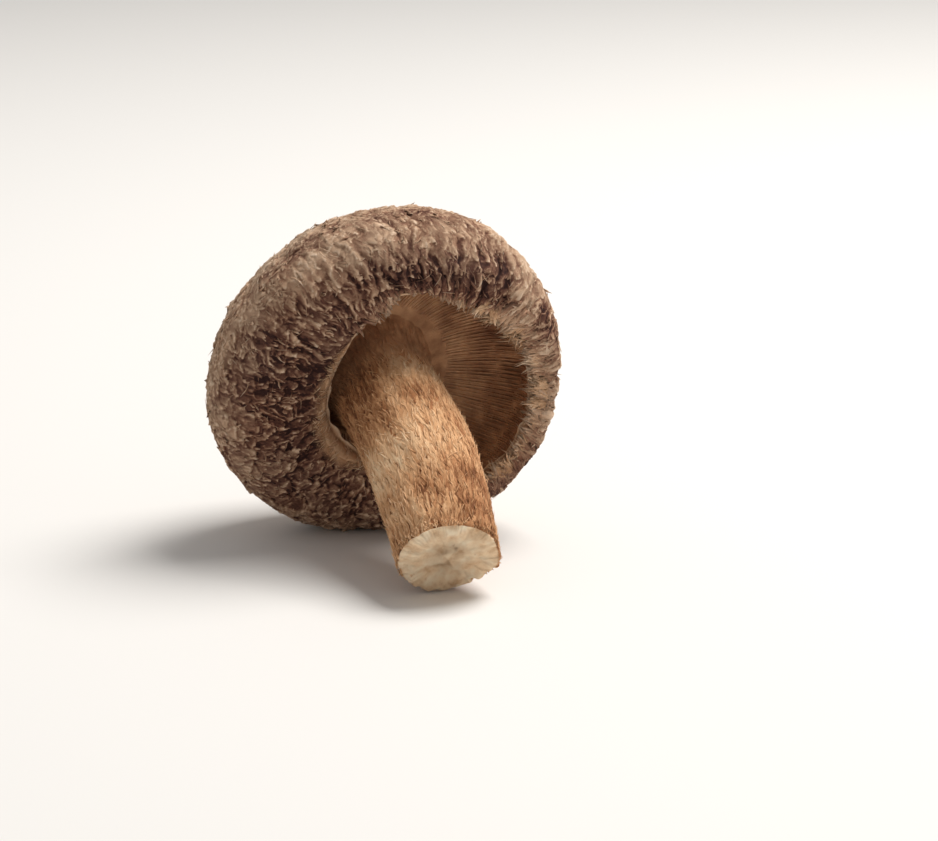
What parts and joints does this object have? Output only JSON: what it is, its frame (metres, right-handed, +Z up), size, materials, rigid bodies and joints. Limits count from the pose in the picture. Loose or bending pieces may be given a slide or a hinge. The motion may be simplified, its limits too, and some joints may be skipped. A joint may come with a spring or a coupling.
{
  "type": "shiitake mushroom",
  "caption": "Shiitake mushroom with a shaggy inrolled cap, open gill hollow and thick bent stem, lying on its rim and foot.",
  "frame": {"origin": "on the surface that the mushroom lies on, under the middle of its bounding box", "axes": "+Z up, -Y towards the cut foot of the stem, +Y towards the top of the cap"},
  "size_m": [0.0606, 0.071, 0.0599],
  "materials": {
    "cap_skin": "matte, shaggy brown felt with pale scales",
    "gills": "matte, smooth light brown",
    "stem_skin": "matte, fibrous pale tan"
  },
  "bodies": {
    "root": {"mushroom": "cap_skin"}
  },
  "joints": []
}
